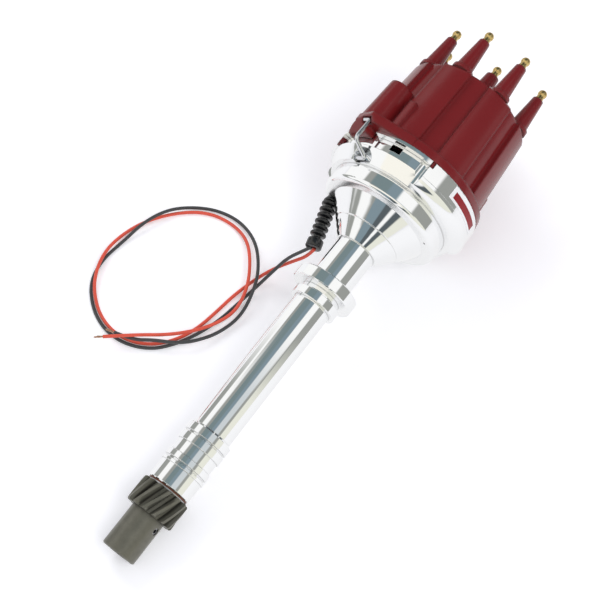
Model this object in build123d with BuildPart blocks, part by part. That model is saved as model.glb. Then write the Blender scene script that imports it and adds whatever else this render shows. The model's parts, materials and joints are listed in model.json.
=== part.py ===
"""Ignition distributor: drive gear, aluminium housing, advance, rotor, cap and leads.

Every piece is modelled upright, with the shaft on the Z axis, z = 0 at the gear's hub end and the
cap at the top. Angles round the shaft count from +X, the side that ends uppermost. lay_down() then
tips the whole object onto the gear and the cup, the way it lies on a table.
"""
from build123d import *
from math import acos, atan2, cos, degrees, hypot, pi, radians, sin, tan
import os

# ---- driving dimensions, millimetres and degrees ----
running_gap = 0.05

# shaft and gear
shaft_radius = 6.25
shaft_foot = 1.5
oil_slot_width = 6.0
oil_slot_depth = 6.0
hub_radius = 11.5
hub_length = 28.8
gear_radius = 16.4
gear_root_radius = 12.9
gear_width = 17.4
gear_teeth = 13
gear_helix_angle = 24.0
roll_pin_radius = 2.4
roll_pin_height = 23.0
roll_pin_angle = 78.0
gear_chamfer = 0.8
hub_chamfer = 0.8

# housing stem
washer_stack = 1.6
stem_length = 146.2
foot_radius = 14.8
foot_length = 13.0
land_radius = 15.5
land_width = 7.6
land_groove_radius = 14.3
middle_radius = 14.5
middle_length = 8.3
upper_land_width = 12.2
tube_radius = 13.45
pilot_radius = 16.6
pilot_length = 5.8
clamp_gap = 4.0
clamp_ring_radius = 22.2
clamp_ring_length = 8.7
neck_radius = 14.0
neck_length = 30.1
cone_length = 24.4
bushing_radius = 8.5
bushing_length = 29.7
stem_bore_radius = 9.5

# housing cup
cone_top_radius = 35.0
under_ring_radius = 43.5
under_ring_length = 13.0
lobe_length = 6.0
cup_radius = 54.5
cup_edge_length = 2.5
band_radius = 54.0
band_length = 12.8
milled_radius = 52.2
pocket_radius = 49.5
floor_thickness = 7.0
pickup_radius = 37.0
pickup_depth = 15.0
cup_bore_radius = 46.5
lip_thickness = 2.3
milled_near = (-98.0, 19.0)
milled_far = (106.0, 190.0)
pocket_near = (-62.0, 16.0)
pocket_far = (118.0, 162.0)
rim_cut_half_angle = 16.0
window_near_edge = -9.4
window_far_edge = -0.2
window_sill = 4.9
window_head = 0.9
channel_radius = 3.0
drilled_hole_angle = 73.0
drilled_hole_reach = 3.5
drilled_hole_radius = 0.75
recess_side = 11.5
recess_length = 15.0
recess_width = 10.5
line_half_width = 0.3
line_depth = 0.35

# bearing under the cup
bearing_radius = 12.0
bearing_below_cone_top = 20.0
bearing_width = 8.0
circlip_width = 1.2
circlip_depth = 0.9
ball_count = 9
bearing_ball = 1.7

# cap
flange_height = 6.7
flange_radius = 54.0
rib_radius = 49.5
rib_top_radius = 45.5
valley_depth = 3.4
rib_half_angle = 13.5
cap_height = 71.7
tower_count = 8
tower_first_angle = -10.0
tower_circle = 38.5
tower_radius = 6.2
tower_tip_radius = 4.0
tower_base_radius = 7.5
tower_length = 28.5
centre_tower_length = 32.0
centre_tower_radius = 8.0
centre_tower_tip_radius = 5.0
crown_thickness = 11.0
shoulder_depth = 33.0
ball_radius = 2.9
spark_ball_rise = 5.8
coil_ball_rise = 6.2
electrode_radius = 2.25
electrode_length = 12.0
spigot_length = 2.5
key_depth = 4.1
key_angle = 23.5
key_half_angle = 1.1
key_notch_half_angle = 1.5
key_inner = 45.0
key_outer = 53.0
cap_bore = 44.5
stem_radius = 1.8
brush_radius = 2.5
post_radius = 8.0
coil_button = 1.2

# clip bosses and clips
clip_angle = -40.0
boss_half_width = 10.5
boss_reach = 60.0
boss_draft = 2.8
boss_height = 39.7
fin_turn = 22.0
fin_half_angle = 3.0
fin_inner = 43.0
fin_outer = 51.0
fin_drop = 9.0
ear_reach = 62.0
ear_side = 13.5
wire_radius = 1.4
pivot_reach = 45.5
pivot_above_lobe = 2.5
pin_tip_side = -4.0
pin_side = 13.6
bar_reach = 58.8
bar_above_rim = 2.3
bar_side = 11.6
bar_tip_side = 5.4
clip_bends = [2.0, 4.0, 2.0]

# pickup, advance and rotor
plate_thickness = 1.6
plate_radius = 36.7
sleeve_radius = 9.0
magnet_radius = 15.0
weight_base_above_floor = 16.0
weight_base_thickness = 2.0
weight_base_radius = 30.0
weight_pin_circle = 22.0
weight_pin_radius = 2.5
weight_thickness = 4.0
rotor_above_rim = 1.7
rotor_radius = 38.0
rotor_height = 27.0
blade_thickness = 1.0
blade_reach = 34.5
module_angle = 60.0
module_size = (16.0, 22.0, 12.0)
module_circle = 26.0
module_screw_side = 14.0
module_foot_thickness = 2.4
plate_screw_circle = 30.5
plate_screw_angles = (0, 120, 240)
sleeve_above_floor = 3.0
magnet_above_sleeve = 1.0
magnet_length = 8.0
pin_angles = (0, 180)
post_angles = (130, 310)
post_circle = 24.0
weight_inner = 15.5
weight_outer = 27.5
weight_lead_angle = 18
weight_arc = 116
spring_above_base = 8.0
spring_radius = 1.3
spring_pitch = 1.25
spring_wire = 0.45
disc_thickness = 4.0
rotor_screw_head = 2.2

# strain relief and leads
boot_radius = 5.6
boot_core_radius = 3.3
boot_rings = 7
boot_ring_width = 2.9
boot_pitch = 4.6
boot_length = 40.0
boot_start_side = (-5.0, -38.2)
boot_seat = 2.0
collar_radius = 5.0
collar_thickness = 1.6
boot_direction = Vector(-0.031, 0.285, -0.958)
lead_radius = 1.2
lead_side = 1.3
strand_radius = 0.75
strand_length = 6.5

# ---- stations up the shaft ----
gear_top = hub_length + gear_width
stem_foot = gear_top + washer_stack
land_foot = stem_foot + foot_length
upper_land_foot = land_foot + land_width + middle_length
pilot_height = stem_foot + stem_length
clamp_ring_height = pilot_height + pilot_length + clamp_gap
cone_height = clamp_ring_height + clamp_ring_length + neck_length
cone_top = cone_height + cone_length
lobe_height = cone_top + under_ring_length
cup_edge_height = lobe_height + lobe_length
band_height = cup_edge_height + cup_edge_length
rim_height = band_height + band_length
cup_floor = cone_top + floor_thickness
wall_step = cup_floor + pickup_depth
bearing_foot = cone_top - bearing_below_cone_top
body_foot = rim_height + flange_height
cap_top = rim_height + cap_height
tower_top = cap_top + tower_length
centre_tower_top = cap_top + centre_tower_length
cap_ceiling = cap_top - crown_thickness
cap_wall_ceiling = cap_top - shoulder_depth
spark_ball_height = tower_top + spark_ball_rise
coil_ball_height = centre_tower_top + coil_ball_rise
electrode_foot = cap_wall_ceiling - electrode_length
boss_top = rim_height + boss_height
pivot_height = lobe_height + pivot_above_lobe
bar_height = rim_height + bar_above_rim
weight_base_height = cup_floor + weight_base_above_floor
rotor_foot = rim_height + rotor_above_rim
rotor_hub_top = rotor_foot + rotor_height
boot_start = Vector(*boot_start_side, cone_top + boot_seat)

# ---- how it lies: the cup's widest circle and the gear's outer circle touch the table ----
gear_contact = hub_length + gear_chamfer
tilt = atan2(cup_radius - gear_radius, cup_edge_height - gear_contact)
axis_height = cup_radius * cos(tilt) - cup_edge_height * sin(tilt)
near_end = -hub_radius * sin(tilt)
far_end = coil_ball_height * cos(tilt) + ball_radius
lay = Location(
    Plane(
        origin=(-(near_end + far_end) / 2, 0, axis_height),
        x_dir=(-sin(tilt), 0, cos(tilt)),
        z_dir=(cos(tilt), 0, sin(tilt)),
    )
)

os.makedirs("parts", exist_ok=True)


def write(part, name):
    """Label a finished piece and write it as it stands in the resting object."""
    part.label = name
    export_step(part, f"parts/{name}.step")


def lay_down(part, name):
    """Tip an upright piece into its resting place and write it."""
    write(part.moved(lay), name)


def on_ring(radius, angle, height):
    """Point at this radius and angle round the shaft."""
    return Vector(radius * cos(radians(angle)), radius * sin(radians(angle)), height)


def spot(radius, angle):
    """The same in a plan sketch: x and y only."""
    return (radius * cos(radians(angle)), radius * sin(radians(angle)))


def facing_out(angle, reach=0.0, height=0.0):
    """Plane whose normal points out from the shaft at this angle, with its x axis up the shaft."""
    out = on_ring(1, angle, 0)
    return Plane(origin=out * reach + Vector(0, 0, height), x_dir=(0, 0, 1), z_dir=out)


def across(angle, offset=0.0):
    """Plane that holds the shaft line and the outward direction: x is outward, y is up the shaft."""
    out = on_ring(1, angle, 0)
    side = Vector(0, 0, 1).cross(out)
    return Plane(origin=side * offset, x_dir=out, z_dir=side * -1)


def ring_sector(inner, outer, low, high, start, end):
    """Tool for cuts: part of a plain ring between two angles."""
    with BuildPart(mode=Mode.PRIVATE) as sector:
        with BuildSketch(Plane.XZ.rotated((0, 0, start))):
            with Locations(((inner + outer) / 2, (low + high) / 2)):
                Rectangle(outer - inner, high - low)
        revolve(axis=Axis.Z, revolution_arc=end - start)
    return sector.part


def turned(points):
    """Plain turned solid from its (radius, height) outline."""
    with BuildPart(mode=Mode.PRIVATE) as solid:
        with BuildSketch(Plane.XZ):
            with BuildLine():
                Polyline(*points, close=True)
            make_face()
        revolve(axis=Axis.Z)
    return solid.part


# ---- main shaft ----
head_foot = weight_base_height + weight_base_thickness + 0.3
head_plate_foot = head_foot + weight_thickness + 0.3
spring_post_circle = 11.0
with BuildPart() as main_shaft:
    with BuildSketch(Plane.XY.offset(shaft_foot)):
        Circle(shaft_radius)
    extrude(amount=head_foot - shaft_foot)
    chamfer(main_shaft.edges().sort_by(Axis.Z)[0], 0.8)
    with BuildSketch(Plane.XY.offset(shaft_foot)):
        Rectangle(oil_slot_width, 3 * shaft_radius)
    extrude(amount=oil_slot_depth, mode=Mode.SUBTRACT)
    with BuildSketch(Plane.XY.offset(head_foot)):
        SlotOverall(22, 13, rotation=55)
    extrude(amount=head_plate_foot - head_foot)
    with BuildSketch(Plane.XY.offset(head_plate_foot)):
        SlotOverall(29, 13, rotation=140)
    extrude(amount=1.4)
    with BuildSketch(Plane.XY.offset(head_plate_foot + 1.4)):
        with PolarLocations(spring_post_circle, 2, start_angle=140):
            Circle(1.5)
    extrude(amount=3.2)
    with BuildSketch(facing_out(roll_pin_angle, 0, roll_pin_height)):
        Circle(roll_pin_radius)
    extrude(amount=2 * shaft_radius, both=True, mode=Mode.SUBTRACT)
lay_down(main_shaft.part, "main_shaft")

# ---- drive gear and its pin ----
twist_lead = 2 * pi * gear_radius / tan(radians(gear_helix_angle))
tooth_turn = 360 * gear_width / twist_lead
tooth_pitch = 360 / gear_teeth
tip_half_angle = 0.13 * tooth_pitch
flank_half_angle = 0.25 * tooth_pitch
root_half_angle = 0.36 * tooth_pitch

with BuildSketch(Plane.XY.offset(hub_length)) as gear_outline:
    Circle(gear_root_radius)
    for tooth in range(gear_teeth):
        middle = tooth * tooth_pitch
        with BuildLine():
            Polyline(
                spot(gear_root_radius - 0.6, middle - root_half_angle),
                spot((gear_root_radius + gear_radius) / 2, middle - flank_half_angle),
                spot(gear_radius, middle - tip_half_angle),
                spot(gear_radius, middle + tip_half_angle),
                spot((gear_root_radius + gear_radius) / 2, middle + flank_half_angle),
                spot(gear_root_radius - 0.6, middle + root_half_angle),
                close=True,
            )
        make_face()

toothed_rim = Solid.extrude_linear_with_rotation(
    gear_outline.sketch.face(), (0, 0, hub_length), (0, 0, gear_width), tooth_turn
)
with BuildPart() as drive_gear:
    with BuildSketch(Plane.XY):
        Circle(hub_radius)
    extrude(amount=hub_length)
    chamfer(drive_gear.edges().sort_by(Axis.Z)[0], hub_chamfer)
    add(toothed_rim)
    for face_height, inward in ((hub_length, 1), (gear_top, -1)):
        add(
            turned(
                [
                    (gear_radius - gear_chamfer, face_height - 0.1 * inward),
                    (gear_radius + 1, face_height - 0.1 * inward),
                    (gear_radius + 1, face_height + (gear_chamfer + 1) * inward),
                ]
            ),
            mode=Mode.SUBTRACT,
        )
    with BuildSketch(Plane.XY):
        Circle(shaft_radius)
    extrude(amount=gear_top, mode=Mode.SUBTRACT)
    with BuildSketch(facing_out(roll_pin_angle, 0, roll_pin_height)):
        Circle(roll_pin_radius)
    extrude(amount=2 * hub_radius, both=True, mode=Mode.SUBTRACT)
lay_down(drive_gear.part, "drive_gear")

with BuildPart() as gear_roll_pin:
    with BuildSketch(facing_out(roll_pin_angle, 0, roll_pin_height)):
        Circle(roll_pin_radius)
        Circle(roll_pin_radius - 0.9, mode=Mode.SUBTRACT)
        with Locations((0, roll_pin_radius)):
            Rectangle(0.7, 2 * roll_pin_radius, mode=Mode.SUBTRACT)
    extrude(amount=hub_radius - 0.7, both=True)
lay_down(gear_roll_pin.part, "gear_roll_pin")


# ---- washers between gear and housing ----
def washer(low, high, outer, name):
    """Plain flat washer on the shaft."""
    with BuildPart() as ring:
        with BuildSketch(Plane.XY.offset(low)):
            Circle(outer)
            Circle(shaft_radius, mode=Mode.SUBTRACT)
        extrude(amount=high - low)
    lay_down(ring.part, name)


washer(gear_top, gear_top + 0.75, 13.2, "shim_washer")
washer(gear_top + 0.75, stem_foot - running_gap, 14.0, "thrust_washer")


# ---- housing ----
def clip_frame(angle):
    """Plane of one clip: x is outward, y is along the clip's bar, z is up the shaft."""
    return Plane(origin=(0, 0, 0), x_dir=on_ring(1, angle, 0), z_dir=(0, 0, 1))


bearing_top = bearing_foot + bearing_width
circlip_foot = bearing_top
circlip_top = circlip_foot + circlip_width
boot_axis = Plane(origin=boot_start, z_dir=boot_direction)
collar_centre = (boot_start.X, boot_start.Y + 1.8)
line_height = cone_height + 0.46 * cone_length
line_slope = (cone_top_radius - neck_radius - 1.5) / cone_length
line_radius = neck_radius + 1.5 + line_slope * (line_height - cone_height)


def milled_side(start, end):
    """Tool that slopes the cup's thick edge back between two angles, up to the band's pocket."""
    with BuildPart(mode=Mode.PRIVATE) as tool:
        with BuildSketch(Plane.XZ.rotated((0, 0, start))):
            with BuildLine():
                Polyline(
                    (under_ring_radius + 3.2, lobe_height - 1),
                    (milled_radius, band_height + 1),
                    (cup_radius + 6, band_height + 1),
                    (cup_radius + 6, lobe_height - 1),
                    close=True,
                )
            make_face()
        revolve(axis=Axis.Z, revolution_arc=end - start)
    return tool.part


outside = cup_radius + 6
pocket_foot = band_height + 1
lip_foot = rim_height - lip_thickness

with BuildPart() as housing:
    with BuildSketch(Plane.XZ):
        with BuildLine():
            Polyline(
                (0, stem_foot),
                (foot_radius - 0.6, stem_foot),
                (foot_radius, stem_foot + 0.6),
                (foot_radius, land_foot),
                (land_radius, land_foot),
                (land_radius, land_foot + 1.9),
                (land_groove_radius, land_foot + 1.9),
                (land_groove_radius, land_foot + 3.5),
                (land_radius, land_foot + 3.5),
                (land_radius, land_foot + land_width),
                (middle_radius, land_foot + land_width),
                (middle_radius, upper_land_foot),
                (land_radius, upper_land_foot),
                (land_radius, upper_land_foot + 5.3),
                (land_groove_radius, upper_land_foot + 5.3),
                (land_groove_radius, upper_land_foot + 6.9),
                (land_radius, upper_land_foot + 6.9),
                (land_radius, upper_land_foot + upper_land_width),
                (tube_radius, upper_land_foot + upper_land_width + 1.3),
                (tube_radius, pilot_height),
                (pilot_radius, pilot_height),
                (pilot_radius, pilot_height + pilot_length),
                (neck_radius, pilot_height + pilot_length),
                (neck_radius, clamp_ring_height),
                (clamp_ring_radius - 0.5, clamp_ring_height),
                (clamp_ring_radius, clamp_ring_height + 0.5),
                (clamp_ring_radius, clamp_ring_height + clamp_ring_length - 0.5),
                (clamp_ring_radius - 0.5, clamp_ring_height + clamp_ring_length),
                (neck_radius, clamp_ring_height + clamp_ring_length),
                (neck_radius, cone_height),
                (neck_radius + 1.5, cone_height),
                (line_radius - line_slope * line_half_width, line_height - line_half_width),
                (line_radius - line_depth, line_height),
                (line_radius + line_slope * line_half_width, line_height + line_half_width),
                (cone_top_radius, cone_top),
                (under_ring_radius - 3, cone_top),
            )
            RadiusArc((under_ring_radius - 3, cone_top), (under_ring_radius, cone_top + 3), -3)
            Line((under_ring_radius, cone_top + 3), (under_ring_radius, lobe_height))
            Line((under_ring_radius, lobe_height), (under_ring_radius + 1, lobe_height))
            ThreePointArc(
                (under_ring_radius + 1, lobe_height),
                (cup_radius - 2.6, (lobe_height + cup_edge_height) / 2 - 1.0),
                (cup_radius, cup_edge_height),
            )
            Polyline(
                (cup_radius, cup_edge_height),
                (cup_radius, band_height),
                (band_radius, band_height),
                (band_radius, rim_height),
                (0, rim_height),
                (0, stem_foot),
            )
        make_face()
    revolve(axis=Axis.Z)
    add(
        turned(
            [
                (0, stem_foot - 1),
                (bushing_radius, stem_foot - 1),
                (bushing_radius, stem_foot + bushing_length),
                (stem_bore_radius, stem_foot + bushing_length),
                (stem_bore_radius, bearing_foot),
                (bearing_radius, bearing_foot),
                (bearing_radius, circlip_foot),
                (bearing_radius + circlip_depth, circlip_foot),
                (bearing_radius + circlip_depth, circlip_top),
                (bearing_radius, circlip_top),
                (bearing_radius, cup_floor),
                (pickup_radius, cup_floor),
                (pickup_radius, wall_step),
                (cup_bore_radius, wall_step),
                (cup_bore_radius, rim_height + 1),
                (0, rim_height + 1),
            ]
        ),
        mode=Mode.SUBTRACT,
    )
    # sides milled back where the clips pivot
    add(milled_side(*milled_near), mode=Mode.SUBTRACT)
    add(milled_side(*milled_far), mode=Mode.SUBTRACT)
    # pockets in the band, and the rim cut away at each clip boss
    add(ring_sector(pocket_radius, outside, pocket_foot, lip_foot, *pocket_near), mode=Mode.SUBTRACT)
    add(ring_sector(pocket_radius, outside, pocket_foot, lip_foot, *pocket_far), mode=Mode.SUBTRACT)
    for angle in (clip_angle, clip_angle + 180):
        cut_from = angle - rim_cut_half_angle
        cut_to = angle + rim_cut_half_angle
        rim_cut = ring_sector(pocket_radius, outside, lip_foot - 1, rim_height + 1, cut_from, cut_to)
        add(rim_cut, mode=Mode.SUBTRACT)
    # window, milled channel and the cap's key notch
    window_foot = band_height + window_sill
    window_top = lip_foot - window_head
    window = ring_sector(
        cup_bore_radius - 5, outside, window_foot, window_top, window_near_edge, window_far_edge
    )
    add(window, mode=Mode.SUBTRACT)
    with BuildSketch(Plane.XY.offset(lobe_height - 1)):
        with Locations(spot(band_radius, milled_near[1])):
            Circle(channel_radius)
    extrude(amount=lip_foot - lobe_height, mode=Mode.SUBTRACT)
    notch_foot = rim_height - key_depth - 0.5
    notch_from = key_angle - key_notch_half_angle
    notch_to = key_angle + key_notch_half_angle
    key_notch = ring_sector(
        cup_bore_radius - 5, outside, notch_foot, rim_height + 1, notch_from, notch_to
    )
    add(key_notch, mode=Mode.SUBTRACT)
    # small drilled hole in the underside
    with BuildSketch(Plane.XY.offset(cone_top - 1)):
        with Locations(spot(cone_top_radius + drilled_hole_reach, drilled_hole_angle)):
            Circle(drilled_hole_radius)
    extrude(amount=4, mode=Mode.SUBTRACT)
    # clip pivots: a recess in the thick edge and a cross hole for the wire's pin
    for angle in (clip_angle, clip_angle + 180):
        with BuildSketch(facing_out(angle, pivot_reach - 1.9, 0)):
            with Locations((pivot_height + 0.3, -recess_side)):
                SlotOverall(recess_length, recess_width, rotation=90)
        extrude(amount=20, mode=Mode.SUBTRACT)
        with BuildSketch(across(angle, recess_side)):
            with Locations((pivot_reach, pivot_height)):
                Circle(wire_radius + running_gap)
        extrude(amount=recess_side - pin_tip_side + 0.3, mode=Mode.SUBTRACT)
    # hole for the leads, with a seat for the strain relief's collar
    with BuildSketch(Plane.XY.offset(cup_floor)):
        with Locations(collar_centre):
            Circle(collar_radius + 0.4)
    extrude(amount=3.0, mode=Mode.SUBTRACT)
    with BuildSketch(Plane.XY.offset(cone_top - 1)):
        with Locations(collar_centre):
            Circle(boot_core_radius + 0.2)
    extrude(amount=cup_floor + 1 - cone_top, mode=Mode.SUBTRACT)
    with BuildSketch(boot_axis.offset(-0.4)):
        Circle(boot_radius + 0.3)
    extrude(amount=20, mode=Mode.SUBTRACT)
lay_down(housing.part, "housing")

# ---- bushing, bearing and circlip ----
with BuildPart() as lower_bushing:
    with BuildSketch(Plane.XY.offset(stem_foot)):
        Circle(bushing_radius)
        Circle(shaft_radius + running_gap, mode=Mode.SUBTRACT)
    extrude(amount=bushing_length)
lay_down(lower_bushing.part, "lower_bushing")

race_middle = (shaft_radius + bearing_radius) / 2
race_height = bearing_foot + bearing_width / 2
with BuildPart() as upper_bearing_outer:
    with BuildSketch(Plane.XY.offset(bearing_foot)):
        Circle(bearing_radius)
        Circle(race_middle + 1.1, mode=Mode.SUBTRACT)
    extrude(amount=bearing_width)
    with Locations((0, 0, race_height)):
        Torus(race_middle, bearing_ball + running_gap, mode=Mode.SUBTRACT)
lay_down(upper_bearing_outer.part, "upper_bearing_outer")

with BuildPart() as upper_bearing_inner:
    with BuildSketch(Plane.XY.offset(bearing_foot)):
        Circle(race_middle - 1.1)
        Circle(shaft_radius, mode=Mode.SUBTRACT)
    extrude(amount=bearing_width)
    with Locations((0, 0, race_height)):
        Torus(race_middle, bearing_ball + running_gap, mode=Mode.SUBTRACT)
lay_down(upper_bearing_inner.part, "upper_bearing_inner")

with BuildPart() as upper_bearing_balls:
    with Locations((0, 0, race_height)):
        with PolarLocations(race_middle, ball_count):
            Sphere(bearing_ball)
lay_down(upper_bearing_balls.part, "upper_bearing_balls")

with BuildPart() as bearing_circlip:
    with BuildSketch(Plane.XY.offset(circlip_foot + 0.1)):
        Circle(bearing_radius + circlip_depth - 0.1)
        Circle(bearing_radius - 1.6, mode=Mode.SUBTRACT)
        with Locations((bearing_radius, 0)):
            Rectangle(6, 3, mode=Mode.SUBTRACT)
    extrude(amount=circlip_width - 0.2)
lay_down(bearing_circlip.part, "bearing_circlip")

# ---- pickup plate and module ----
plate_top = cup_floor + plate_thickness
with BuildPart() as module_plate:
    with BuildSketch(Plane.XY.offset(cup_floor)):
        Circle(plate_radius)
        Circle(17, mode=Mode.SUBTRACT)
        with Locations((boot_start.X, boot_start.Y)):
            Circle(8, mode=Mode.SUBTRACT)
    extrude(amount=plate_thickness)
lay_down(module_plate.part, "module_plate")

with BuildPart() as plate_screws:
    for angle in plate_screw_angles:
        with BuildSketch(Plane.XY.offset(plate_top)):
            with Locations(spot(plate_screw_circle, angle)):
                Circle(2.8)
        extrude(amount=2.0)
        with BuildSketch(Plane.XY.offset(plate_top + 2.0)):
            with Locations(spot(plate_screw_circle, angle)):
                Rectangle(0.8, 6)
        extrude(amount=-0.9, mode=Mode.SUBTRACT)
lay_down(plate_screws.part, "plate_screws")

module_frame = clip_frame(module_angle)
with BuildPart() as ignition_module:
    with BuildSketch(Plane(module_frame.origin + Vector(0, 0, plate_top), x_dir=module_frame.x_dir)):
        with Locations((module_circle, 0)):
            RectangleRounded(module_size[0], module_size[1], 1.5)
    extrude(amount=module_size[2])
    with BuildSketch(Plane(module_frame.origin + Vector(0, 0, plate_top), x_dir=module_frame.x_dir)):
        with Locations((module_circle, 0)):
            SlotOverall(2 * module_screw_side + 7, 7, rotation=90)
    extrude(amount=module_foot_thickness)
lay_down(ignition_module.part, "ignition_module")

with BuildPart() as module_screws:
    for side in (-1, 1):
        place = module_frame.from_local_coords((module_circle, side * module_screw_side, 0))
        with BuildSketch(Plane.XY.offset(plate_top + module_foot_thickness)):
            with Locations((place.X, place.Y)):
                Circle(2.4)
        extrude(amount=1.8)
        with BuildSketch(Plane.XY.offset(plate_top + 4.2)):
            with Locations((place.X, place.Y)):
                Rectangle(0.7, 5)
        extrude(amount=-0.8, mode=Mode.SUBTRACT)
lay_down(module_screws.part, "module_screws")

# ---- centrifugal advance ----
weight_base_top = weight_base_height + weight_base_thickness
sleeve_foot = cup_floor + sleeve_above_floor
with BuildPart() as advance_cam:
    with BuildSketch(Plane.XY.offset(sleeve_foot)):
        Circle(sleeve_radius)
    extrude(amount=weight_base_height - sleeve_foot)
    with BuildSketch(Plane.XY.offset(weight_base_height)):
        Circle(weight_base_radius)
    extrude(amount=weight_base_thickness)
    with BuildSketch(Plane.XY.offset(weight_base_top)):
        for angle in pin_angles:
            with Locations(spot(weight_pin_circle, angle)):
                Circle(weight_pin_radius)
    extrude(amount=9.0)
    with BuildSketch(Plane.XY.offset(weight_base_top)):
        for angle in post_angles:
            with Locations(spot(post_circle, angle)):
                Circle(3.5)
    extrude(amount=rotor_foot - weight_base_top)
    with BuildSketch(Plane.XY.offset(sleeve_foot)):
        Circle(shaft_radius + running_gap)
    extrude(amount=weight_base_top - sleeve_foot, mode=Mode.SUBTRACT)
lay_down(advance_cam.part, "advance_cam")

with BuildPart() as trigger_magnet:
    with BuildSketch(Plane.XY.offset(sleeve_foot + magnet_above_sleeve)):
        Circle(magnet_radius)
        Circle(sleeve_radius, mode=Mode.SUBTRACT)
    extrude(amount=magnet_length)
lay_down(trigger_magnet.part, "trigger_magnet")

for letter, angle in zip("ab", pin_angles):
    arc_from = angle - weight_lead_angle
    arc_to = arc_from + weight_arc
    with BuildPart() as advance_weight:
        with BuildSketch(Plane.XY.offset(head_foot)):
            with BuildLine():
                CenterArc((0, 0), weight_outer, arc_from, weight_arc)
                CenterArc((0, 0), weight_inner, arc_from, weight_arc)
                Line(spot(weight_inner, arc_from), spot(weight_outer, arc_from))
                Line(spot(weight_inner, arc_to), spot(weight_outer, arc_to))
            make_face()
            with Locations(spot(weight_pin_circle, angle)):
                Circle(weight_pin_radius + running_gap, mode=Mode.SUBTRACT)
        extrude(amount=weight_thickness)
        fillet(advance_weight.edges().filter_by(Axis.Z).group_by(SortBy.LENGTH)[-1], 1.0)
    lay_down(advance_weight.part, f"advance_weight_{letter}")

spring_height = weight_base_top + spring_above_base
for letter, angle in zip("ab", pin_angles):
    post = on_ring(spring_post_circle, angle + 140, spring_height)
    pin = on_ring(weight_pin_circle, angle + 180, spring_height)
    along = (pin - post).normalized()
    coil_start = post + along * 2.2
    coil_length = (pin - post).length - 2.2 - 3.3
    with BuildPart() as advance_spring:
        with BuildLine() as coil:
            Helix(spring_pitch, coil_length, spring_radius, center=coil_start, direction=along)
        with BuildSketch(Plane(coil.line @ 0, z_dir=coil.line % 0)):
            Circle(spring_wire)
        sweep(path=coil.line, is_frenet=True)
    lay_down(advance_spring.part, f"advance_spring_{letter}")

# ---- rotor ----
with BuildPart() as rotor:
    with BuildSketch(Plane.XY.offset(rotor_foot)):
        Circle(rotor_radius)
    extrude(amount=disc_thickness)
    chamfer(rotor.edges().sort_by(Axis.Z)[-1], 0.8)
    with BuildSketch(Plane.XY.offset(rotor_foot + disc_thickness)):
        Circle(10)
        with Locations((15, 0)):
            Rectangle(30, 9)
    extrude(amount=rotor_hub_top - rotor_foot - disc_thickness)
    with BuildSketch(Plane.XY.offset(rotor_foot + disc_thickness)):
        for angle in post_angles:
            with Locations(spot(post_circle, angle)):
                Circle(1.8)
    extrude(amount=-disc_thickness, mode=Mode.SUBTRACT)
lay_down(rotor.part, "rotor")

with BuildPart() as rotor_blade:
    with BuildSketch(Plane.XY.offset(rotor_hub_top)):
        with Locations((blade_reach / 2 - 2, 0)):
            Rectangle(blade_reach + 4, 6)
    extrude(amount=blade_thickness)
lay_down(rotor_blade.part, "rotor_blade")

with BuildPart() as rotor_screws:
    for angle in post_angles:
        place = spot(post_circle, angle)
        with BuildSketch(Plane.XY.offset(rotor_foot)):
            with Locations(place):
                Circle(1.8)
        extrude(amount=disc_thickness)
        with BuildSketch(Plane.XY.offset(rotor_foot + disc_thickness)):
            with Locations(place):
                Circle(3.4)
        extrude(amount=rotor_screw_head)
        with BuildSketch(Plane.XY.offset(rotor_foot + disc_thickness + rotor_screw_head)):
            with Locations(place):
                Rectangle(0.9, 7)
                Rectangle(7, 0.9)
        extrude(amount=-1.0, mode=Mode.SUBTRACT)
lay_down(rotor_screws.part, "rotor_screws")

# ---- cap ----
tower_angles = [tower_first_angle + 360 / tower_count * i for i in range(tower_count)]
spigot_radius = cup_bore_radius - 0.2
brush_foot = rotor_hub_top + blade_thickness + running_gap
brush_top = brush_foot + 9.0
spring_top = cap_ceiling - 11


hook_foot = rim_height - 4.8
ear_turn = degrees(atan2(ear_side, ear_reach))
ear_tangent = ear_turn + degrees(acos(flange_radius / hypot(ear_reach, ear_side)))


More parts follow.
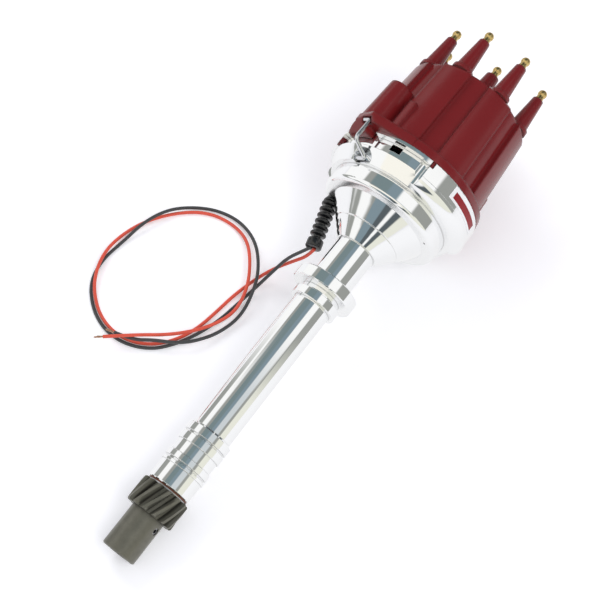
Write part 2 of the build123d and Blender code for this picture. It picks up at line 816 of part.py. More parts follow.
def cap_column(angle):
    """Clip boss: tapered round-ended column with an ear and a hooked foot under it."""
    boss_frame = Plane(origin=(0, 0, 0), x_dir=on_ring(1, angle, 0), z_dir=(0, 0, 1))
    with BuildPart(mode=Mode.PRIVATE) as column:
        with BuildSketch(boss_frame.offset(hook_foot)):
            with Locations((boss_reach - boss_half_width - 4.75, 0)):
                Rectangle(9.5, 2 * boss_half_width)
            with Locations((boss_reach - boss_half_width, 0)):
                Circle(boss_half_width)
        extrude(amount=boss_top - hook_foot, taper=boss_draft)
        with BuildSketch(boss_frame.offset(rim_height)):
            with BuildLine():
                Polyline(
                    spot(flange_radius, ear_tangent),
                    (ear_reach, ear_side),
                    (boss_reach, -3),
                    (boss_reach - 20, -3),
                    close=True,
                )
            make_face()
        extrude(amount=flange_height)
        add(ring_sector(0.1, 49.8, hook_foot - 1, rim_height, angle - 30, angle + 30), mode=Mode.SUBTRACT)
        # foot sloped back under the ear
        with BuildSketch(across(angle)):
            with BuildLine():
                Polyline(
                    (boss_reach - 5.3, hook_foot - 1),
                    (boss_reach - 5.3, hook_foot),
                    (ear_reach, rim_height + 4.2),
                    (ear_reach + 4, rim_height + 4.2),
                    (ear_reach + 4, hook_foot - 1),
                    close=True,
                )
            make_face()
        extrude(amount=20, both=True, mode=Mode.SUBTRACT)
        # notch that the clip's bar leaves outwards, and room for its leg
        with BuildSketch(across(angle, bar_tip_side - 1)):
            with BuildLine():
                Polyline(
                    (bar_reach - 0.5, bar_height + 2.5),
                    (bar_reach + 6.9, bar_height - 2.2),
                    (bar_reach + 4.1, bar_height - 6.6),
                    (bar_reach - 2.5, bar_height - 0.7),
                    close=True,
                )
            make_face()
        extrude(amount=-(bar_side + wire_radius + 1.6 - bar_tip_side), mode=Mode.SUBTRACT)
        with BuildSketch(across(angle, bar_side - wire_radius - 0.5)):
            with Locations((bar_reach + 3.2, bar_height - 4)):
                Rectangle(10, 8.4)
        extrude(amount=-(2 * wire_radius + 1), mode=Mode.SUBTRACT)
    return column.part


with BuildPart() as distributor_cap:
    add(
        turned(
            [
                (0, rim_height - spigot_length),
                (spigot_radius, rim_height - spigot_length),
                (spigot_radius, rim_height),
                (flange_radius, rim_height),
                (flange_radius - 1, body_foot),
                (rib_radius - valley_depth, body_foot),
                (rib_top_radius - valley_depth, cap_top),
                (0, cap_top),
            ]
        )
    )
    for angle in tower_angles:
        with BuildSketch(Plane.XZ.rotated((0, 0, angle - rib_half_angle))):
            with BuildLine():
                Polyline(
                    (30, body_foot - 1),
                    (rib_radius, body_foot - 1),
                    (rib_top_radius, cap_top - 2),
                    (rib_top_radius - 2, cap_top),
                    (30, cap_top),
                    close=True,
                )
            make_face()
        revolve(axis=Axis.Z, revolution_arc=2 * rib_half_angle)
    for angle in tower_angles:
        with BuildSketch(Plane.XY.offset(cap_top)):
            with Locations(spot(tower_circle, angle)):
                Circle(tower_base_radius)
        extrude(amount=3)
        with Locations(on_ring(tower_circle, angle, (cap_top + 3 + tower_top) / 2)):
            Cone(tower_radius, tower_tip_radius, tower_top - cap_top - 3)
    with Locations((0, 0, (cap_top + centre_tower_top) / 2)):
        Cone(centre_tower_radius, centre_tower_tip_radius, centre_tower_top - cap_top)
    for angle in (clip_angle, clip_angle + 180):
        add(cap_column(angle))
    for angle in (clip_angle + fin_turn, clip_angle + 180 + fin_turn):
        fin_from = angle - fin_half_angle
        fin_to = angle + fin_half_angle
        add(ring_sector(fin_inner, fin_outer, body_foot - 1, boss_top - fin_drop, fin_from, fin_to))
    key_from = key_angle - key_half_angle
    key_to = key_angle + key_half_angle
    add(ring_sector(key_inner, key_outer, rim_height - key_depth, rim_height + 1, key_from, key_to))
    add(
        turned(
            [
                (0, rim_height - 5),
                (cap_bore, rim_height - 5),
                (cap_bore, rim_height),
                (cap_bore - 2.5, cap_wall_ceiling),
                (32, cap_wall_ceiling),
                (32, cap_ceiling),
                (post_radius, cap_ceiling),
                (post_radius, cap_wall_ceiling),
                (brush_radius + 0.2, cap_wall_ceiling),
                (brush_radius + 0.2, spring_top),
                (stem_radius, spring_top),
                (stem_radius, centre_tower_top + 1),
                (0, centre_tower_top + 1),
            ]
        ),
        mode=Mode.SUBTRACT,
    )
    with BuildSketch(Plane.XY.offset(cap_wall_ceiling - 1)):
        for angle in tower_angles:
            with Locations(spot(tower_circle, angle)):
                Circle(electrode_radius)
    extrude(amount=4, mode=Mode.SUBTRACT)
    with BuildSketch(Plane.XY.offset(cap_wall_ceiling)):
        for angle in tower_angles:
            with Locations(spot(tower_circle, angle)):
                Circle(stem_radius)
    extrude(amount=tower_top - cap_wall_ceiling + 1, mode=Mode.SUBTRACT)
lay_down(distributor_cap.part, "distributor_cap")


def terminal_outline(foot, base_radius, step, collar, ball_centre):
    """Outline of a turned terminal from its foot to its ball."""
    with BuildPart(mode=Mode.PRIVATE) as pin:
        with BuildSketch(Plane.XZ):
            with BuildLine():
                Polyline(
                    (0, foot),
                    (base_radius, foot),
                    (base_radius, step),
                    (stem_radius, step),
                    (stem_radius, collar),
                    (2.7, collar),
                    (2.7, collar + 1.2),
                    (1.6, collar + 2.2),
                    (1.6, ball_centre),
                    (0, ball_centre),
                    close=True,
                )
            make_face()
        revolve(axis=Axis.Z)
        with Locations((0, 0, ball_centre)):
            Sphere(ball_radius)
    return pin.part


spark_pin = terminal_outline(
    electrode_foot, electrode_radius, cap_wall_ceiling + 3, tower_top, spark_ball_height
)
with BuildPart() as spark_terminals:
    with PolarLocations(tower_circle, tower_count, start_angle=tower_first_angle):
        add(spark_pin)
lay_down(spark_terminals.part, "spark_terminals")

coil_pin = terminal_outline(
    spring_top - coil_button, brush_radius, spring_top, centre_tower_top, coil_ball_height
)
with BuildPart() as coil_terminal:
    add(coil_pin)
lay_down(coil_terminal.part, "coil_terminal")

with BuildPart() as carbon_brush:
    with BuildSketch(Plane.XY.offset(brush_foot)):
        Circle(brush_radius)
    extrude(amount=brush_top - brush_foot)
    chamfer(carbon_brush.edges().group_by(Axis.Z)[0], 0.5)
lay_down(carbon_brush.part, "carbon_brush")

with BuildPart() as brush_spring:
    with BuildLine() as brush_coil:
        Helix(2.0, spring_top - coil_button - brush_top - 0.8, 1.9, center=(0, 0, brush_top + 0.4))
    with BuildSketch(Plane(brush_coil.line @ 0, z_dir=brush_coil.line % 0)):
        Circle(0.35)
    sweep(path=brush_coil.line, is_frenet=True)
lay_down(brush_spring.part, "brush_spring")

# ---- clips ----
clip_path = [
    (pivot_reach, pin_tip_side, pivot_height),
    (pivot_reach, pin_side, pivot_height),
    (bar_reach + 0.8, pin_side - 1.2, pivot_height + 4.3),
    (bar_reach, bar_side, bar_height),
    (bar_reach, bar_tip_side, bar_height),
]
for side, angle in (("right", clip_angle), ("left", clip_angle + 180)):
    corners = [clip_frame(angle).from_local_coords(p) for p in clip_path]
    with BuildPart() as bail_clip:
        with BuildLine() as clip_wire:
            FilletPolyline(*corners, radius=clip_bends)
        with BuildSketch(Plane(clip_wire.line @ 0, z_dir=clip_wire.line % 0)):
            Circle(wire_radius)
        sweep(path=clip_wire.line)
    lay_down(bail_clip.part, f"bail_clip_{side}")

# ---- strain relief ----
with BuildPart() as strain_relief:
    with BuildSketch(Plane.XY.offset(cup_floor + 0.05)):
        with Locations(collar_centre):
            Circle(collar_radius)
    extrude(amount=collar_thickness)
    with BuildSketch(Plane.XY.offset(cone_top - 1)):
        with Locations(collar_centre):
            Circle(boot_core_radius)
    extrude(amount=cup_floor + 1.05 - cone_top)
    with BuildSketch(boot_axis):
        Circle(boot_core_radius)
    extrude(amount=boot_length - 3)
    for ring in range(boot_rings):
        with BuildSketch(boot_axis.offset(0.4 + ring * boot_pitch)):
            Circle(boot_radius)
        extrude(amount=boot_ring_width)
    end_block = 0.4 + boot_rings * boot_pitch
    with BuildSketch(boot_axis.offset(end_block)):
        RectangleRounded(2 * boot_radius, 2 * boot_radius - 1, 2.5)
    extrude(amount=boot_length - end_block)
lay_down(strain_relief.part, "strain_relief")

# ---- leads: corner points of each route on the table, first point at the boot's end ----
boot_end = (lay * Location(boot_start + boot_direction.normalized() * boot_length)).position
black_route = [
    (20.5, 32.4, 36.2), (15.9, 41.2, 25.5), (9.1, 46.8, 14.5), (-5.1, 52.4, 4.4), (-22.1, 55, 2.2),
    (-38.1, 57, 1.25), (-56.1, 62, 1.25), (-71.1, 69, 1.25), (-84.1, 79.5, 1.25), (-91.6, 97, 1.25),
    (-91.1, 115, 1.25), (-83.6, 132, 1.25), (-69.1, 147.5, 1.25), (-50.1, 153.5, 1.25),
    (-29.1, 151.8, 1.25), (-10.1, 149, 5.2), (7.9, 142.6, 5.2), (22.4, 132, 1.25), (31.4, 115, 1.25),
    (32.5, 95, 2.4), (22.9, 74, 7.2), (5.9, 58, 9.6), (-10.1, 50, 9), (-29.1, 46.5, 3.6),
    (-48.1, 50.5, 3.2), (-64.1, 58.5, 6.2), (-72.6, 68, 6.4), (-79.1, 80.5, 6.2), (-87.1, 92, 5.4),
    (-90.6, 105, 6.6),
]
red_route = [
    (21.5, 28, 33.4), (17.2, 37.8, 23), (11.4, 49.5, 10.5), (-0.1, 57.5, 3), (-18.1, 61.8, 1.25),
    (-35.1, 63, 1.25), (-52.1, 64.8, 1.25), (-68.1, 70.5, 1.25), (-81.5, 81.6, 1.25),
    (-88.6, 97, 1.25), (-88.4, 114, 1.25), (-81.1, 131, 1.25), (-67.1, 145.5, 4.6),
    (-47.1, 154.5, 5), (-26.1, 156.5, 1.25), (-6.1, 150.5, 1.25), (13.9, 136, 1.25),
    (25.9, 119, 1.25), (28.2, 99, 1.25), (22.1, 81.5, 4.4), (7.9, 67.2, 7.4), (-10.1, 55.5, 7.2),
    (-28.1, 51.5, 4.4), (-44.1, 55.5, 5.4), (-58.1, 63.5, 6.6), (-71.1, 76, 6.4), (-84.1, 91, 9.2),
    (-98.1, 108, 8.2),
]


def bend_radii(points):
    """Radius of each corner: 0.45 of its shorter run over the tangent of half the turn."""
    radii = []
    for before, here, after in zip(points, points[1:], points[2:]):
        run_in = here - before
        run_out = after - here
        shorter = min(run_in.length, run_out.length)
        radii.append(0.45 * shorter / tan(radians(run_in.get_angle(run_out)) / 2))
    return radii


for name, route, side in (("black_lead", black_route, 1), ("red_lead", red_route, -1)):
    points = [boot_end + Vector(0, side * lead_side, 0)] + [Vector(*p) for p in route]
    radii = bend_radii(points)
    print(name, "radii", [round(r, 1) for r in radii])
    with BuildPart() as lead:
        with BuildLine() as lead_path:
            FilletPolyline(*points, radius=radii)
        with BuildSketch(Plane(lead_path.line @ 0, z_dir=lead_path.line % 0)):
            Circle(lead_radius)
        sweep(path=lead_path.line)
    section_times_length = pi * lead_radius**2 * sum(edge.length for edge in lead_path.edges())
    print(name, "volume", round(lead.part.volume), "of", round(section_times_length))
    write(lead.part, name)
    with BuildPart() as lead_tip:
        with BuildSketch(Plane(lead_path.line @ 1, z_dir=lead_path.line % 1)):
            Circle(strand_radius)
        extrude(amount=strand_length)
    write(lead_tip.part, f"{name}_tip")
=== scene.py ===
"""Looks of the ignition distributor: finishes, leads, floor, light and camera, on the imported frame."""
import json
import math

import bpy
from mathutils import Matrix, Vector


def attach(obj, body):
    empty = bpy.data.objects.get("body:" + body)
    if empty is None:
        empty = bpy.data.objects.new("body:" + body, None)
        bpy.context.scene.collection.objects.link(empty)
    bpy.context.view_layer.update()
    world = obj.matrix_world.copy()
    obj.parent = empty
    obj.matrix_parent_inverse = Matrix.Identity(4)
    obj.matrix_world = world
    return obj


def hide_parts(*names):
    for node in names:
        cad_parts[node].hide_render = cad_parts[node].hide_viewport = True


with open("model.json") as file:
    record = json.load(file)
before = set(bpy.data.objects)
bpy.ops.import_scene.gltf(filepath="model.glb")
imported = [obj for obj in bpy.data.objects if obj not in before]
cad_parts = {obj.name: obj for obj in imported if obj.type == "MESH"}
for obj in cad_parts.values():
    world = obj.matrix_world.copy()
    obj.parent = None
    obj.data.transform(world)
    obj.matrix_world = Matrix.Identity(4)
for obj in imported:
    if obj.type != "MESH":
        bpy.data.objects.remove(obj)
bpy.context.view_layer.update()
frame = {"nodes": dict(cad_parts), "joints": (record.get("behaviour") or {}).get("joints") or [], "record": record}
nodes = frame["nodes"]

# ---- how the distributor lies: its shaft rises towards the cap ----
shaft_spin = next(joint for joint in frame["joints"] if joint["name"] == "shaft_spin")
SHAFT = Vector(shaft_spin["axis"])
BASE = Vector(shaft_spin["pos_m"])
UPPER = Vector((-SHAFT.z, 0, SHAFT.x))
RIGHT = Vector((0, -1, 0))


def placed(name, data):
    """New object with this data, in the scene."""
    holder = bpy.data.objects.new(name, data)
    bpy.context.collection.objects.link(holder)
    return holder


# ---- camera: a long lens, 59 degrees above the table ----
LENS = 69
SENSOR_WIDTH = 36
CAMERA_AT = Vector((-0.3186, -0.2219, 0.6724))
CAMERA_AIM = Vector((0.41417, 0.31244, -0.85489))
camera_data = bpy.data.cameras.new("camera")
camera_data.lens = LENS
camera_data.sensor_width = SENSOR_WIDTH
camera = placed("camera", camera_data)
camera.location = CAMERA_AT
camera.rotation_mode = "QUATERNION"
camera.rotation_quaternion = CAMERA_AIM.to_track_quat("-Z", "Y")
bpy.context.scene.camera = camera
bpy.context.scene.view_settings.view_transform = "Standard"

# ---- leads: the control points of each route, metres ----
BOOT_END = Vector((0.02512, 0.02680, 0.03960))
LEAD_SIDE = Vector((0, 0.0013, 0))
BLACK_EXIT = tuple(BOOT_END + LEAD_SIDE)
RED_EXIT = tuple(BOOT_END - LEAD_SIDE)
BLACK_ROUTE = [
    BLACK_EXIT,
    (0.0205, 0.0324, 0.03620), (0.0159, 0.0412, 0.02550), (0.0091, 0.0468, 0.01450),
    (-0.0051, 0.0524, 0.00440), (-0.0221, 0.0550, 0.00220), (-0.0381, 0.0570, 0.00125),
    (-0.0561, 0.0620, 0.00125), (-0.0711, 0.0690, 0.00125), (-0.0841, 0.0795, 0.00125),
    (-0.0916, 0.0970, 0.00125), (-0.0911, 0.1150, 0.00125), (-0.0836, 0.1320, 0.00125),
    (-0.0691, 0.1475, 0.00125), (-0.0501, 0.1535, 0.00125), (-0.0291, 0.1518, 0.00125),
    (-0.0101, 0.1490, 0.00520), (0.0079, 0.1426, 0.00520), (0.0224, 0.1320, 0.00125),
    (0.0314, 0.1150, 0.00125), (0.0325, 0.0950, 0.00240), (0.0229, 0.0740, 0.00720),
    (0.0059, 0.0580, 0.00960), (-0.0101, 0.0500, 0.00900), (-0.0291, 0.0465, 0.00360),
    (-0.0481, 0.0505, 0.00320), (-0.0641, 0.0585, 0.00620), (-0.0726, 0.0680, 0.00640),
    (-0.0791, 0.0805, 0.00620), (-0.0871, 0.0920, 0.00540), (-0.0906, 0.1050, 0.00660),
]
RED_ROUTE = [
    RED_EXIT,
    (0.0215, 0.0280, 0.03340), (0.0172, 0.0378, 0.02300), (0.0114, 0.0495, 0.01050),
    (-0.0001, 0.0575, 0.00300), (-0.0181, 0.0618, 0.00125), (-0.0351, 0.0630, 0.00125),
    (-0.0521, 0.0648, 0.00125), (-0.0681, 0.0705, 0.00125), (-0.0815, 0.0816, 0.00125),
    (-0.0886, 0.0970, 0.00125), (-0.0884, 0.1140, 0.00125), (-0.0811, 0.1310, 0.00125),
    (-0.0671, 0.1455, 0.00460), (-0.0471, 0.1545, 0.00500), (-0.0261, 0.1565, 0.00125),
    (-0.0061, 0.1505, 0.00125), (0.0139, 0.1360, 0.00125), (0.0259, 0.1190, 0.00125),
    (0.0282, 0.0990, 0.00125), (0.0221, 0.0815, 0.00440), (0.0079, 0.0672, 0.00740),
    (-0.0101, 0.0555, 0.00720), (-0.0281, 0.0515, 0.00440), (-0.0441, 0.0555, 0.00540),
    (-0.0581, 0.0635, 0.00660), (-0.0711, 0.0760, 0.00640), (-0.0841, 0.0910, 0.00920),
    (-0.0981, 0.1080, 0.00820),
]


# ---- node helpers ----
class Tree:
    """Node tree with short calls that add a node, join its inputs and give back its output."""

    def __init__(self, tree):
        self.tree = tree
        tree.nodes.clear()

    def add(self, kind, **values):
        node = self.tree.nodes.new(kind)
        for name, value in values.items():
            setattr(node, name, value)
        return node

    def join(self, source, target):
        self.tree.links.new(source, target)

    def math(self, operation, first, second=None):
        """Maths on one or two values, each a number or an output."""
        node = self.add("ShaderNodeMath", operation=operation)
        for socket, value in zip(node.inputs, (first, second)):
            if value is None:
                continue
            if isinstance(value, (int, float)):
                socket.default_value = value
            else:
                self.join(value, socket)
        return node.outputs[0]

    def scaled(self, value, factor, offset, clamp=False):
        """value * factor + offset."""
        node = self.add("ShaderNodeMath", operation="MULTIPLY_ADD", use_clamp=clamp)
        self.join(value, node.inputs[0])
        node.inputs[1].default_value = factor
        node.inputs[2].default_value = offset
        return node.outputs[0]

    def corner_shade(self, reach):
        """Mask for painting shade: 1 on open surface, less in corners and gaps narrower than the reach."""
        node = self.add("ShaderNodeAmbientOcclusion", samples=6)
        node.inputs["Distance"].default_value = reach
        return node.outputs["AO"]

    def dot(self, vector, fixed):
        """How far a vector reaches along a fixed direction."""
        node = self.add("ShaderNodeVectorMath", operation="DOT_PRODUCT")
        self.join(vector, node.inputs[0])
        node.inputs[1].default_value = fixed
        return node.outputs["Value"]

    def mix_colour(self, factor, first, second):
        """Blend of two colours, each a tuple or an output, as the factor goes from 0 to 1."""
        node = self.add("ShaderNodeMix", data_type="RGBA")
        for number, value in ((0, factor), (6, first), (7, second)):
            socket = node.inputs[number]
            if isinstance(value, tuple):
                socket.default_value = (*value, 1)
            else:
                self.join(value, socket)
        return node.outputs[2]

    def ramp(self, factor, stops):
        """Colour ramp through (place, colour) stops."""
        node = self.add("ShaderNodeValToRGB")
        elements = node.color_ramp.elements
        while len(elements) < len(stops):
            elements.new(0.5)
        for element, (place, colour) in zip(elements, stops):
            element.position = place
            element.color = (*colour, 1)
        self.join(factor, node.inputs[0])
        return node.outputs[0]

    def noise(self, vector, scale, detail=3, roughness=0.5):
        """Cloudy value round 0.5 over a vector."""
        node = self.add("ShaderNodeTexNoise")
        node.inputs["Scale"].default_value = scale
        node.inputs["Detail"].default_value = detail
        node.inputs["Roughness"].default_value = roughness
        self.join(vector, node.inputs["Vector"])
        return node.outputs["Fac"]

    def eased_edges(self, radius):
        """Normal that rounds sharp edges over."""
        node = self.add("ShaderNodeBevel", samples=6)
        node.inputs["Radius"].default_value = radius
        return node.outputs["Normal"]

    def bump(self, height, strength, distance, normal=None):
        """Normal that follows a height, on top of another normal where one is given."""
        node = self.add("ShaderNodeBump")
        if normal:
            self.join(normal, node.inputs["Normal"])
        node.inputs["Strength"].default_value = strength
        node.inputs["Distance"].default_value = distance
        self.join(height, node.inputs["Height"])
        return node.outputs["Normal"]


# ---- materials ----
def surface(name, colour, metallic, roughness, **sockets):
    """New material, its tree, its Principled shader with these sockets set, and object coordinates."""
    material = bpy.data.materials.new(name)
    material.use_nodes = True
    tree = Tree(material.node_tree)
    shader = tree.add("ShaderNodeBsdfPrincipled")
    shader.inputs["Base Color"].default_value = (*colour, 1)
    shader.inputs["Metallic"].default_value = metallic
    shader.inputs["Roughness"].default_value = roughness
    for socket, value in sockets.items():
        shader.inputs[socket.replace("_", " ")].default_value = value
    output = tree.add("ShaderNodeOutputMaterial")
    tree.join(shader.outputs[0], output.inputs[0])
    position = tree.add("ShaderNodeTexCoord").outputs["Object"]
    return material, tree, shader, position


def along_shaft(tree, position):
    """Vector that only changes along the shaft, for lathe marks."""
    combine = tree.add("ShaderNodeCombineXYZ")
    tree.join(tree.dot(position, SHAFT), combine.inputs[0])
    return combine.outputs[0]


ALUMINIUM = (0.94, 0.945, 0.95)
# dark tone of the painted shade in the alloy's tight corners
ALUMINIUM_PAINTED_SHADE = (0.42, 0.42, 0.42)


def polished_aluminium():
    """Mirror-like turned alloy: matt on faces across the shaft, with painted shade darkening its tight corners."""
    material, tree, shader, position = surface("polished_aluminium", ALUMINIUM, 1.0, 0.05)
    lathe = tree.noise(along_shaft(tree, position), scale=1400, detail=4, roughness=0.6)
    smears = tree.noise(position, scale=60)
    # faces across the shaft keep their turning marks, the rest is polished
    facing = tree.math("ABSOLUTE", tree.dot(tree.add("ShaderNodeNewGeometry").outputs["Normal"], SHAFT))
    turned_face = tree.scaled(facing, factor=12, offset=-11.2, clamp=True)
    polish = tree.scaled(smears, factor=0.06, offset=0.02)
    rough = tree.math("ADD", polish, tree.scaled(turned_face, factor=0.22, offset=0))
    tree.join(rough, shader.inputs["Roughness"])
    # painted shade: the base colour darkens in tight corners and gaps, where shade falls
    painted_corner_shade = tree.scaled(tree.corner_shade(reach=0.0014), factor=1.5, offset=-0.25, clamp=True)
    tree.join(tree.mix_colour(painted_corner_shade, ALUMINIUM_PAINTED_SHADE, ALUMINIUM), shader.inputs["Base Color"])
    edges = tree.eased_edges(radius=0.0004)
    marks = tree.bump(lathe, strength=0.10, distance=0.00002, normal=edges)
    tree.join(marks, shader.inputs["Normal"])
    return material


def red_cap():
    """Deep red glossy moulding with slight clouds and soft edges."""
    material, tree, shader, position = surface(
        "red_cap", (0.175, 0.011, 0.013), 0.0, 0.26, Specular_IOR_Level=0.34,
        Coat_Weight=0.12, Coat_Roughness=0.06,
    )
    patches = tree.noise(position, scale=35)
    colour = tree.mix_colour(patches, (0.165, 0.010, 0.012), (0.205, 0.014, 0.016))
    tree.join(colour, shader.inputs["Base Color"])
    grain = tree.noise(position, scale=500, detail=2)
    edges = tree.eased_edges(radius=0.003)
    skin = tree.bump(grain, strength=0.04, distance=0.0001, normal=edges)
    tree.join(skin, shader.inputs["Normal"])
    return material


def brass():
    """Turned brass with tarnish."""
    material, tree, shader, position = surface("terminal_brass", (0.70, 0.50, 0.20), 1.0, 0.22)
    tarnish = tree.noise(position, scale=300)
    colour = tree.mix_colour(tarnish, (0.78, 0.60, 0.27), (0.52, 0.35, 0.13))
    tree.join(colour, shader.inputs["Base Color"])
    lathe = tree.noise(along_shaft(tree, position), scale=1500, detail=2)
    tree.join(tree.bump(lathe, strength=0.15, distance=0.00003), shader.inputs["Normal"])
    return material


def gear_steel():
    """Dark phosphated steel with blotches, and painted shade that turns it near black between the teeth."""
    material, tree, shader, position = surface("gear_steel", (0.15, 0.145, 0.118), 0.55, 0.36)
    blotches = tree.noise(position, scale=160, detail=5, roughness=0.65)
    # painted shade: near black in the hollows between the teeth
    painted_hollow_shade = tree.scaled(tree.corner_shade(reach=0.004), factor=1.5, offset=-0.35, clamp=True)
    steel = tree.mix_colour(blotches, (0.115, 0.112, 0.09), (0.205, 0.198, 0.16))
    tree.join(tree.mix_colour(painted_hollow_shade, (0.012, 0.011, 0.009), steel), shader.inputs["Base Color"])
    grain = tree.noise(position, scale=1500)
    tree.join(tree.bump(grain, strength=0.12, distance=0.00005), shader.inputs["Normal"])
    return material


def worked_metal(name, light, dark, roughness, stain_scale=250):
    """Plain machined metal with faint stains and turning marks."""
    material, tree, shader, position = surface(name, light, 1.0, roughness)
    stains = tree.noise(position, scale=stain_scale, detail=4)
    tree.join(tree.mix_colour(stains, light, dark), shader.inputs["Base Color"])
    lathe = tree.noise(along_shaft(tree, position), scale=2000)
    tree.join(tree.bump(lathe, strength=0.15, distance=0.00003), shader.inputs["Normal"])
    return material


CLOUD_GAIN = 1.35
CLOUD_LIFT = 0.002


def moulded(name, colour, roughness, grain_scale, grain_depth, **sockets):
    """Rubber, plastic, paper or insulation: one tone with slight clouds and a fine grain."""
    material, tree, shader, position = surface(name, colour, 0.0, roughness, **sockets)
    lighter = tuple(min(1, channel * CLOUD_GAIN + CLOUD_LIFT) for channel in colour)
    clouds = tree.noise(position, scale=120)
    tree.join(tree.mix_colour(clouds, colour, lighter), shader.inputs["Base Color"])
    grain = tree.noise(position, scale=grain_scale)
    tree.join(tree.bump(grain, strength=0.2, distance=grain_depth), shader.inputs["Normal"])
    return material


materials = {
    "polished_aluminium": polished_aluminium(),
    "red_cap": red_cap(),
    "terminal_brass": brass(),
    "gear_steel": gear_steel(),
    "ground_steel": worked_metal("ground_steel", (0.56, 0.56, 0.57), (0.44, 0.44, 0.45), 0.28),
    "clip_chrome": worked_metal("clip_chrome", (0.80, 0.81, 0.83), (0.66, 0.67, 0.70), 0.10),
    "bearing_bronze": worked_metal("bearing_bronze", (0.22, 0.09, 0.06), (0.12, 0.05, 0.035), 0.35),
    "black_rubber": moulded(
        "black_rubber", (0.004, 0.004, 0.005), 0.16, 400, 0.00006, Specular_IOR_Level=0.7
    ),
    "red_insulation": moulded("red_insulation", (0.66, 0.085, 0.05), 0.4, 500, 0.00004),
    "black_insulation": moulded("black_insulation", (0.048, 0.049, 0.05), 0.42, 500, 0.00004),
    "copper_strand": worked_metal("copper_strand", (0.80, 0.52, 0.38), (0.62, 0.38, 0.26), 0.25, 900),
    "black_plastic": moulded("black_plastic", (0.012, 0.012, 0.013), 0.45, 600, 0.00006),
    "carbon": moulded("carbon", (0.02, 0.02, 0.02), 0.6, 1200, 0.00006),
    "magnet": moulded("magnet", (0.035, 0.034, 0.033), 0.55, 800, 0.00008),
    "zinc_steel": worked_metal("zinc_steel", (0.62, 0.62, 0.58), (0.48, 0.48, 0.45), 0.35),
}
for part in frame["record"]["subparts"]:
    node = nodes[part["node"]]
    node.data.materials.clear()
    node.data.materials.append(materials[part["material_slot"]])


# ---- round pieces ----
def on_ring(along, radius, turn):
    """Point at this place up the shaft, radius and angle from straight up towards the right."""
    outward = UPPER * math.cos(turn) + RIGHT * math.sin(turn)
    return BASE + SHAFT * along + outward * radius


def new_piece(name, places, faces, material, smooth=True):
    """Mesh piece that rides on the housing."""
    mesh = bpy.data.meshes.new(name)
    mesh.from_pydata(places, [], faces)
    for face in mesh.polygons:
        face.use_smooth = smooth
    mesh.materials.append(material)
    piece = placed(name, mesh)
    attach(piece, "housing")
    return piece


SIDES = 36


def turned(origin, axis, outline, places, faces):
    """Add one surface turned round an axis, from its outline of places along it and radii."""
    across = axis.cross(RIGHT).normalized()
    upright = axis.cross(across)
    first = len(places)
    for along, radius in outline:
        for side in range(SIDES):
            turn = 2 * math.pi * side / SIDES
            outward = across * math.cos(turn) + upright * math.sin(turn)
            places.append(origin + axis * along + outward * radius)
    for ring in range(len(outline) - 1):
        for side in range(SIDES):
            low = first + ring * SIDES
            after = (side + 1) % SIDES
            faces.append((low + side, low + after, low + SIDES + after, low + SIDES + side))


# ---- brass ends: each terminal flares from its tower's mouth to its ball ----
# degrees from straight up towards the right
TOWER_FIRST_ANGLE = -10
CAD_BALL = 0.0029
BALL = 0.0032
NECK_OUTLINE = ((-0.0096, 0.0024), (-0.0086, 0.0029), (-0.0072, 0.00285), (-0.0058, 0.0025))
BALL_OUTLINE = [
    (BALL * math.sin(math.radians(rise)) - CAD_BALL, BALL * math.cos(math.radians(rise)))
    for rise in (-40, -25, -10, 5, 20, 35, 50, 65, 78, 89)
]
END_OUTLINE = (*NECK_OUTLINE, *BALL_OUTLINE)


def terminal_tips(node, count):
    """Tip of each terminal in a node: the middle of its vertices, at the greatest height."""
    groups = {}
    for vertex in node.data.vertices:
        from_base = node.matrix_world @ vertex.co - BASE
        turn = math.atan2(from_base.dot(RIGHT), from_base.dot(UPPER))
        key = round((turn - math.radians(TOWER_FIRST_ANGLE)) / (2 * math.pi / count)) % count
        groups.setdefault(key, []).append(from_base)
    for places in groups.values():
        across = [[place.dot(side) for place in places] for side in (UPPER, RIGHT)]
        centre = [(min(values) + max(values)) / 2 for values in across]
        tip = max(place.dot(SHAFT) for place in places)
        yield BASE + UPPER * centre[0] + RIGHT * centre[1] + SHAFT * tip


end_places = []
end_faces = []
for terminal, terminal_count in (("spark_terminals", 8), ("coil_terminal", 1)):
    for tip in terminal_tips(nodes[terminal], terminal_count):
        turned(tip, SHAFT, END_OUTLINE, end_places, end_faces)
new_piece("terminal_ends", end_places, end_faces, materials["terminal_brass"])

# ---- ribbed boot: tapered head, six rings with round edges and the end block ----
BOOT_AXIS = (RIGHT * 0.285 - UPPER * 0.031 - SHAFT * 0.958).normalized()
BOOT_LENGTH = 0.040
BOOT_CORE = 0.0029
BOOT_PITCH = 0.0046
BOOT_RINGS = 6
FIRST_RING_AT = 0.0052
# outlines as pairs of place along the boot and radius
HEAD_OUTLINE = (
    (-0.0020, 0.0026), (0.0004, 0.0030), (0.0022, 0.0042),
    (0.0040, 0.0051), (0.0046, 0.0050), (0.0048, BOOT_CORE),
)
RING_OUTLINE = (
    (0.0000, BOOT_CORE), (0.0001, 0.0048), (0.0004, 0.0053), (0.0009, 0.0056),
    (0.0017, 0.0056), (0.0022, 0.0053), (0.0025, 0.0048), (0.0026, BOOT_CORE),
)
BLOCK_OUTLINE = (
    (0.0334, BOOT_CORE), (0.0335, 0.0048), (0.0338, 0.0054), (0.0345, 0.0056),
    (0.0393, 0.0056), (0.0398, 0.0053), (0.0400, 0.0048), (0.0400, 0.0001),
)
boot_outline = [*HEAD_OUTLINE]
for ring in range(BOOT_RINGS):
    ring_foot = FIRST_RING_AT + ring * BOOT_PITCH
    boot_outline += [(ring_foot + along, radius) for along, radius in RING_OUTLINE]
boot_outline += BLOCK_OUTLINE
boot_places = []
boot_faces = []
turned(BOOT_END - BOOT_AXIS * BOOT_LENGTH, BOOT_AXIS, boot_outline, boot_places, boot_faces)
boot = new_piece("ribbed_boot", boot_places, boot_faces, materials["black_rubber"])
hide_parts("strain_relief")

# ---- plain label on the cup's band ----
BAND_RADIUS = 0.054
LABEL_STEPS = 30
STRIP_CORNERS = 4


